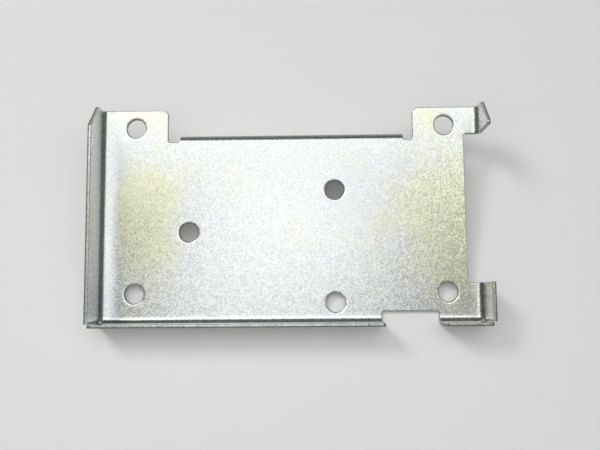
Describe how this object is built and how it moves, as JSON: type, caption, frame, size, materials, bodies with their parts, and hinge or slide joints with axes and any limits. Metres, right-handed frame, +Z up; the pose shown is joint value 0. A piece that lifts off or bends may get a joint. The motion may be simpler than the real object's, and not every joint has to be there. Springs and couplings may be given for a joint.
{
  "type": "stamped metal bracket",
  "caption": "Shallow tray bracket folded from one galvanised sheet, with standing side walls and ears, a hanging wall and a floor pierced for screws.",
  "frame": {"origin": "centre of the rectangle of four corner holes, on the upper face of the floor", "axes": "+X along the floor towards the two ears, +Y towards the hanging wall, +Z up out of the tray, the way the walls and ears stand"},
  "size_m": [0.1111, 0.063, 0.026],
  "materials": {
    "galvanised_steel": "galvanised zinc, matt grey with a fine grain and bright sheared edges"
  },
  "bodies": {
    "root": {"bracket": "galvanised_steel"}
  },
  "joints": []
}
